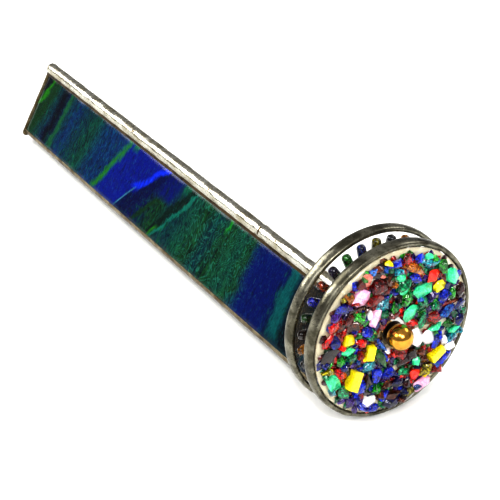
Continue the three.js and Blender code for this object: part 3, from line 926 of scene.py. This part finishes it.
# Chips that stand out on the front wheel, seen from the front: y, z from the axle, length and width in mm,
# and the length's turn from +Y in degrees. Small fillers are scattered between them.
CHIPS = {
    "cobalt": [
        (-1.3, 23.6, 6.4, 3.4, -15), (7.2, 23.4, 4.6, 3.2, -50), (6.2, 16.7, 4.8, 2.8, -42),
        (-20.3, 15.4, 5.2, 4.2, -30), (-3.8, 13.2, 2.2, 1.8, 0), (17.5, 7, 4.4, 4.2, 40),
        (-21.3, 4.7, 4, 3.4, 70), (-10, 4.2, 4, 3.2, -40), (15.5, -7.7, 5.6, 3, 60),
        (-12.3, -14.3, 5.4, 4.4, 30), (-6, -12.3, 5.4, 4, -55), (-1.7, -12.7, 4.4, 4, 10),
        (18, -15, 6.6, 3.6, 25), (-13.2, -18, 4, 2.4, -70), (-11.2, -21.4, 4.4, 2.6, -50),
        (-7, -23.4, 4.6, 2.6, -8), (-3.4, -20.6, 4.2, 2.4, 40), (-14.6, 6.4, 2.4, 2, 0),
        (-24, -2.4, 3, 2, -20),
    ],
    "navy": [
        (23.6, 1.7, 5.4, 3.4, 80), (23.4, -3.4, 4.4, 3, 70), (18.4, 10.2, 2.6, 2, 0),
        (-0.7, -23.9, 5.6, 4, 0), (-24, 10.5, 3, 2.4, 60), (-17.5, -5, 3.6, 2.4, 20),
        (1.2, -17.4, 3.8, 2.6, 0), (4.4, -22.2, 3, 2.6, 0),
    ],
    "sky": [
        (-8.6, 23.8, 3.6, 2, 10), (-4.5, 22.8, 2, 1.4, 60), (18.8, 1.3, 5.4, 3.8, 20),
        (-4.7, -2.3, 5.6, 1.6, -58), (15.6, -16.4, 2.2, 2, 0), (8.8, -21.6, 3, 2.6, 0),
        (-13, -5, 2.4, 2, 0), (8.5, 8.8, 2.2, 1.6, 0),
    ],
    "turquoise": [
        (12, 20, 5.8, 3.8, -10), (8.3, 21.8, 2.4, 2, 0), (-4.7, 11.3, 4.8, 4, -25),
        (-9.3, -8.2, 5, 3.6, 20), (0, 20.8, 3.6, 2.4, -15), (21, -8.7, 4, 3, 0), (24, -7, 2.6, 2, 0),
        (-22.5, -12.5, 3, 2.4, -60),
    ],
    "mint": [
        (19.9, 13.2, 6, 4.2, -60), (9.3, 11.8, 7.2, 4.6, 5), (5, 5.3, 5.6, 5.4, 0),
        (1.2, 18.4, 3.8, 2.8, -20), (-16.3, -0.4, 4.6, 2.4, -10), (-22, -9, 6.8, 4.6, -58),
        (14.6, -2.7, 5.4, 2.2, 10), (2.4, 13.8, 3, 2.8, 0), (21.5, -5.6, 4, 1.2, 20),
        (10.7, 22.4, 2.6, 2, 0), (8, -12.2, 2.8, 2.8, 40),
    ],
    "emerald": [
        (2, 15.6, 5.4, 4, 30), (-16.6, 18, 3, 2.8, 0), (-4.5, 8.2, 3, 2.8, 0), (9.3, 7, 4.6, 3.8, 60),
        (9.7, 1.3, 5.4, 2.6, 80), (14.3, 4.7, 3.2, 2.4, 0), (-8.3, 2.3, 4.4, 3.4, -60),
        (-15, -3.3, 3.8, 3.4, 0), (-17.8, -14.2, 5.6, 3.4, -70), (4, -15, 4.8, 2.8, -25),
        (20.2, -4.4, 3.4, 2.4, 20), (-2.3, 22, 2.8, 2, 0), (-24, -6, 2.4, 2, 0),
    ],
    "green": [
        (16.2, 17.4, 5, 3, -75), (-11.6, 21.9, 2.8, 2.2, 20), (-13, 10, 5, 4, -50),
        (3.3, 10.3, 4.4, 4, 50), (20.4, 7, 4, 2.4, 85), (18.7, -2.7, 3.2, 3, 0), (-5, -6.3, 8, 2.8, -60),
        (-19, -2.7, 3.2, 2.8, 60), (-6.5, -16.7, 4, 2.6, 85), (-1, 9.3, 4, 2, 85),
        (12.4, 21.4, 2.2, 1.8, 0),
    ],
    "red": [
        (3, 23, 3.8, 2.8, 85), (-8.3, 13.9, 6.6, 3.4, 18), (-21, 10.3, 5.4, 4.8, 40),
        (-23.6, 5.5, 4.6, 4.2, 20), (5.8, 1.7, 4, 2.8, -20), (13.5, 0.7, 4.6, 4.2, 0),
        (-12, 1, 4.2, 2.8, -15), (-19, -7, 5.6, 2.8, -52), (-14.6, 15.4, 3, 2.2, 0),
        (-12, -3.7, 4.4, 3, -80), (0, -6.8, 3, 2.2, -30),
    ],
    "orange_red": [(12.5, 15.3, 5.4, 4.6, -30), (7.8, -17, 4.6, 3.4, -75), (-18.6, 1.8, 2.4, 1.6, 0)],
    "dark_red": [
        (-6.7, 17.7, 5.8, 4.8, -20), (-3.7, 15.7, 3.6, 3, 0), (-12.8, 20.6, 3.6, 3, 60),
        (2, -7.8, 5.4, 3.4, -15), (16.4, -18.6, 4.8, 4, -30), (-0.7, 6.7, 3.6, 2.2, 0),
        (3.4, 24.6, 3.6, 2, 0), (-16.4, 10.3, 4, 3.2, 60),
    ],
    "maroon": [
        (-22.4, 0, 6.8, 5.6, -25), (23.3, 6.7, 5.4, 2.8, 85), (3.7, -11, 5.2, 4.6, 0),
        (6.7, -9, 3.8, 3.6, 50), (-9.7, -13.3, 5.4, 2.4, 85), (5.7, -19.3, 3.8, 3, 0),
        (-7, 22, 4.4, 2.8, -15), (4.4, -23.6, 3, 2.6, 0), (0.8, 11.4, 2.6, 1.6, 60),
        (-15.4, 13, 3.6, 2.4, 0),
    ],
    "brown": [
        (-7.4, 23.4, 4.2, 2.8, 0), (-3, 19, 4.4, 4.2, 30), (-15, 7.4, 4.8, 4, 40), (0, -21, 6, 3.2, -10),
        (-2.3, -17, 3.6, 3.4, 0), (9.7, -9.7, 2.8, 2.6, -50), (3.6, -24.4, 3, 2.2, 0),
        (-4.6, -19.8, 2.4, 2, 0), (11, -13, 2.6, 2.2, 0),
    ],
    "amber": [
        (6.3, 19.5, 7.2, 2.8, -36), (-17.3, 18.4, 3.6, 2.8, -55), (-1.4, 17, 2.2, 1.8, 0),
        (2.6, 21.8, 2, 1.6, 0), (-16.6, 16.6, 2.6, 2, -60),
    ],
    "yellow": [
        (-3.6, 24.6, 2.6, 1.8, 0), (15.2, 11, 4.4, 4.2, -40), (-16.5, 3.2, 4.6, 4, -60),
        (11.8, -18.4, 3, 1.8, 60), (-11.4, -4.6, 1.8, 1.6, 0),
    ],
    "yellow_slab": [(-8.8, -3.3, 5, 2.8, 80), (15.7, -12.3, 5.8, 3.2, 24), (-14.5, -10.7, 6.6, 4.2, 60)],
    "olive": [
        (-23.2, -4.6, 5, 2, -10), (11.8, -17, 4.6, 3.4, 60), (5.9, -23.2, 5.2, 4, 35),
        (-20.4, 19.4, 2, 2, 0),
    ],
    "pink": [(-12.7, 16.3, 6.8, 5.4, -20), (-7.5, 8.3, 5.8, 3.4, 75), (10.8, -22, 6.4, 4.2, 25)],
    "peach": [(-10.8, 21.3, 4.2, 3.8, 30), (-5.6, 21.4, 2.2, 2, 0)],
    "white": [
        (8, -4, 6.6, 4.4, -65), (12.5, -5.3, 5.6, 4.8, -30), (-8.7, -20.2, 4.4, 3.8, 0),
        (18, -8.3, 3, 1.8, 80), (20.8, -11.4, 3.8, 3, 0), (-9.4, 9.6, 3.2, 1, 80), (-3, -4.4, 2, 1.6, 0),
    ],
    "purple": [
        (-22.2, 13.4, 4, 3.2, 60), (-15, -18.6, 5, 4, -50), (12.5, 8, 4.2, 3, 70), (-17, 14.4, 2, 2, 0),
    ],
}
SLABS = ("yellow_slab",)  # broken from sheet, so square-edged and flat

# Each kind of chip's two shades, and how clear its glass is
CHIP_SHADES = {
    "cobalt": ((24, 66, 246), (4, 14, 130), 0.5),
    "navy": ((16, 30, 160), (2, 4, 50), 0.5),
    "sky": ((70, 150, 236), (20, 70, 200), 0.5),
    "turquoise": ((60, 196, 210), (10, 104, 140), 0.5),
    "mint": ((84, 222, 166), (40, 190, 128), 0.0),
    "emerald": ((14, 176, 116), (2, 78, 50), 0.5),
    "green": ((60, 210, 60), (8, 104, 24), 0.5),
    "red": ((250, 30, 14), (170, 6, 6), 0.5),
    "orange_red": ((246, 50, 10), (224, 24, 8), 0.05),
    "dark_red": ((196, 16, 10), (90, 4, 6), 0.5),
    "maroon": ((72, 12, 18), (26, 4, 10), 0.5),
    "brown": ((150, 66, 16), (72, 26, 8), 0.5),
    "amber": ((236, 146, 20), (150, 70, 8), 0.5),
    "yellow": ((250, 236, 14), (240, 214, 6), 0.0),
    "yellow_slab": ((250, 238, 12), (236, 214, 6), 0.0),
    "olive": ((206, 194, 22), (120, 106, 10), 0.5),
    "pink": ((248, 196, 222), (234, 170, 206), 0.0),
    "peach": ((232, 150, 132), (206, 112, 98), 0.05),
    "white": ((250, 246, 246), (234, 226, 232), 0.0),
    "purple": ((100, 60, 164), (46, 20, 96), 0.5),
}


def chip_mesh(bag, centre, length, width, height, turn, slab, dice):
    """Adds one broken chip to a bmesh: the hull of points scattered over a lump, or of a slab's corners."""
    if slab:
        corners = [(a, b, c) for a in (-1, 1) for b in (-1, 1) for c in (-1, 1)]
        points = [Vector(corner) * (1 - 0.12 * dice.random()) for corner in corners]
    else:
        points = []
        for _ in range(18):
            tilt = math.acos(1 - 2 * dice.random())
            spin = 2 * math.pi * dice.random()
            flat = math.sin(tilt) ** 0.7
            points.append(Vector((flat * math.cos(spin), flat * math.sin(spin), math.cos(tilt) ** 3)))
    reach = [max(abs(point[axis]) for point in points) for axis in range(3)]
    half = (length / 2 / reach[0], width / 2 / reach[1], height / 2 / reach[2])
    tip = math.radians(dice.uniform(-12, 12))
    lean = Matrix.Rotation(tip, 3, Vector((0, dice.random(), dice.random() + 0.1)))
    face = Matrix.Rotation(math.radians(turn), 3, "X") @ lean
    made = []
    for point in points:
        along, side, rise = (point[axis] * half[axis] for axis in range(3))
        made.append(bag.verts.new(centre + face @ Vector((rise, along, side))))
    hull = bmesh.ops.convex_hull(bag, input=made, use_existing_faces=False)
    spare = {item for item in hull["geom_interior"] if isinstance(item, bmesh.types.BMVert)}
    spare |= {item for item in hull["geom_unused"] if isinstance(item, bmesh.types.BMVert)}
    bmesh.ops.delete(bag, geom=list(spare), context="VERTS")


def build_chips():
    dice = random.Random(11)
    floor_x = CHIP_BED_X + BED_DEPTH
    inner = span("ball_nut", 1)[1] + 1.2 * MM
    names = list(CHIPS)
    bags = {name: bmesh.new() for name in names}
    places = []
    for name in names:
        for y, z, length, width, turn in CHIPS[name]:
            height = dice.uniform(2.6, 3.3) * MM
            size = 1.0 if name in SLABS else 1.1
            far = math.hypot(y, z)
            inward = min(1, (CHIP_REACH / MM - 0.3 - 0.28 * (length + width)) / far)
            y, z = y * inward, z * inward
            centre = Vector((floor_x + height * 0.42, y * MM, AXLE_Z + z * MM))
            places.append((y, z, min(length, width) / 2))
            slab = name in SLABS
            chip_mesh(bags[name], centre, length * MM * size, width * MM * size, height, turn, slab, dice)
    filler = ["navy", "maroon", "dark_red", "emerald", "brown", "cobalt", "purple", "green", "red"]
    golden = math.pi * (3 - math.sqrt(5))
    for index in range(FILLER_COUNT):
        share = (index + 0.5) / FILLER_COUNT
        reach = math.sqrt(inner**2 + share * ((CHIP_REACH - 1.1 * MM) ** 2 - inner**2))
        angle = index * golden + dice.uniform(-0.03, 0.03)
        y, z = reach * math.cos(angle), reach * math.sin(angle)
        name = dice.choice(filler)
        length, width = dice.uniform(2.8, 4.2) * MM, dice.uniform(2.0, 3.2) * MM
        height = dice.uniform(1.2, 1.8) * MM
        turn = dice.uniform(0, 180)
        covered = any(math.hypot(y / MM - a, z / MM - b) < r * 0.5 for a, b, r in places)
        if covered or dice.random() < 0.1:
            continue
        centre = Vector((floor_x + height * 0.3, y, AXLE_Z + z))
        chip_mesh(bags[name], centre, length, width, height, turn, False, dice)
    build_resin()
    for name in names:
        mesh = bpy.data.meshes.new(f"chips_{name}")
        bmesh.ops.recalc_face_normals(bags[name], faces=bags[name].faces)
        bags[name].to_mesh(mesh)
        bags[name].free()
        made = bpy.data.objects.new(f"chips_{name}", mesh)
        bpy.context.scene.collection.objects.link(made)
        shade, second, transmission = CHIP_SHADES[name]
        roughness = 0.14 if transmission < OPAQUE else 0.02
        look = chip_look(f"chip_{name}", color(*shade), color(*second), transmission, roughness)
        piece(made, "front_wheel", material=look, slot="chip_glass")
        add_bevel(made, CHIP_BEVEL, 3, 12)
        made.data.polygons.foreach_set("use_smooth", [True] * len(made.data.polygons))


def build_resin():
    """The clear bed that bonds the chips, pooled unevenly between them."""
    inner = span("ball_nut", 1)[1] + 0.6 * MM
    circles = 16
    sides = 120
    rings = []
    for side in range(sides):
        angle = 2 * math.pi * side / sides
        ring = []
        for step in range(circles + 1):
            radius = inner + (CHIP_REACH - inner) * step / circles
            place = Vector((radius * math.cos(angle), radius * math.sin(angle), 0)) / (2.2 * MM)
            top = CHIP_BED_X + 0.95 * MM + 0.3 * MM * noise.noise(place)
            if step in (0, circles):
                top -= 0.4 * MM
            ring.append(round_axle(top, radius, angle))
        ring += [round_axle(CHIP_BED_X, radius, angle) for radius in (CHIP_REACH, inner)]
        rings.append(ring)
    bed = loft("resin_bed", rings, closed=True)
    piece(bed, "front_wheel", "glass_chips", material=RESIN)


def build_wheels():
    build_rim("rear_rim", "rear_wheel_rim", "rear_wheel", RIM_JOINT, 1.0)
    build_rim("front_rim", "front_wheel_rim", "front_wheel", RIM_JOINT + FRONT_TURN, 5.0)
    bore = AXLE_RADIUS + 0.15 * MM
    ring_piece("rear_bush", "rear_wheel_hub", "rear_wheel", bore, BRASS, 0.2 * MM)
    ring_piece("front_bush", "front_wheel_hub", "front_wheel", bore, BRASS, 0.2 * MM)
    dress("rear_wheel_disc", CLEAR, 0.15 * MM)
    dress("front_wheel_disc", CLEAR, 0.15 * MM)
    build_rods()
    build_chips()


# --- Studio ---


def add_area(name, place, target, size, power):
    light = bpy.data.lights.new(name, "AREA")
    light.shape = "RECTANGLE"
    light.size, light.size_y = size
    light.energy = power
    made = bpy.data.objects.new(name, light)
    made.location = place
    made.rotation_euler = (Vector(target) - Vector(place)).to_track_quat("-Z", "Y").to_euler()
    bpy.context.scene.collection.objects.link(made)


def build_studio():
    reach = 6.0
    corners = [(-reach, -reach, 0), (reach, -reach, 0), (reach, reach, 0), (-reach, reach, 0)]
    floor = make_object("floor", [Vector(c) for c in corners], [(0, 1, 2, 3)], smooth=False)
    paper = Look("pale_floor", Roughness=0.9)
    grain = paper.ramp(paper.noise(0.02, 2), (0.3, color(240, 240, 238)), (0.7, color(246, 246, 244)))
    paper.set(Base_Color=grain)
    floor.data.materials.append(paper.material)
    build_world()
    add_area("far_softbox", (-0.89, -0.535, 0.62), (0, 0, 0.02), (0.55, 0.72), 10)
    add_area("side_softbox", (0.25, -0.95, 0.9), (0, 0, 0.02), (0.4, 0.4), 3.5)
    add_area("front_softbox", (1.0, -0.15, 0.75), (0.1, 0, 0.03), (0.34, 0.34), 6)
    add_area("glint_softbox", (0.75, -0.55, 1.0), (0.1, 0, 0.03), (0.1, 0.1), 3)
    add_area("back_softbox", (0.1, 0.95, 0.8), (0, 0, 0.02), (0.5, 0.4), 2.5)


def build_world():
    """A white studio whose walls are dimmer near the horizon in what the object reflects."""
    world = bpy.data.worlds.new("studio")
    world.use_nodes = True
    tree = world.node_tree
    background = tree.nodes["Background"]
    place = tree.nodes.new("ShaderNodeTexCoord")
    height = tree.nodes.new("ShaderNodeSeparateXYZ")
    walls = tree.nodes.new("ShaderNodeMapRange")
    walls.inputs["From Min"].default_value = 0.1
    walls.inputs["From Max"].default_value = 0.9
    walls.inputs["To Min"].default_value = 0.3
    walls.inputs["To Max"].default_value = 0.6
    ray = tree.nodes.new("ShaderNodeLightPath")
    strength = tree.nodes.new("ShaderNodeMix")
    strength.inputs["A"].default_value = 1.0
    tree.links.new(place.outputs["Generated"], height.inputs[0])
    tree.links.new(height.outputs["Z"], walls.inputs["Value"])
    tree.links.new(ray.outputs["Is Glossy Ray"], strength.inputs["Factor"])
    tree.links.new(walls.outputs[0], strength.inputs["B"])
    tree.links.new(strength.outputs[0], background.inputs["Strength"])
    background.inputs["Color"].default_value = (1, 1, 1, 1)
    bpy.context.scene.world = world


VIEW_ANGLES = (58.8, 29.97, -0.81)  # azimuth, elevation and roll, in degrees
VIEW_TARGET = Vector((16.5, 11.0, 5.4)) * MM
VIEW_DISTANCE = 491 * MM
SENSOR, LENS = 36, 100.8


def add_camera():
    """The photograph's view: along the body from its wheel end, a little above."""
    azimuth, elevation, roll = (math.radians(angle) for angle in VIEW_ANGLES)
    level = math.cos(elevation)
    back = Vector((math.sin(azimuth) * level, -math.cos(azimuth) * level, math.sin(elevation)))
    right = Vector((math.cos(azimuth), math.sin(azimuth), 0))
    turn = Matrix((right, back.cross(right), back)).transposed()
    camera = bpy.data.cameras.new("camera")
    camera.sensor_width = SENSOR
    camera.lens = LENS
    camera.clip_end = 50
    made = bpy.data.objects.new("camera", camera)
    place = Matrix.Translation(VIEW_TARGET + back * VIEW_DISTANCE)
    made.matrix_world = place @ (Matrix.Rotation(roll, 3, back) @ turn).to_4x4()
    bpy.context.scene.collection.objects.link(made)
    bpy.context.scene.camera = made


bpy.context.scene.view_settings.view_transform = "Standard"
bpy.context.scene.view_settings.gamma = 0.75
bpy.context.scene.view_settings.exposure = 0.15
add_camera()
build_studio()
build_body()
build_axle()
build_wheels()
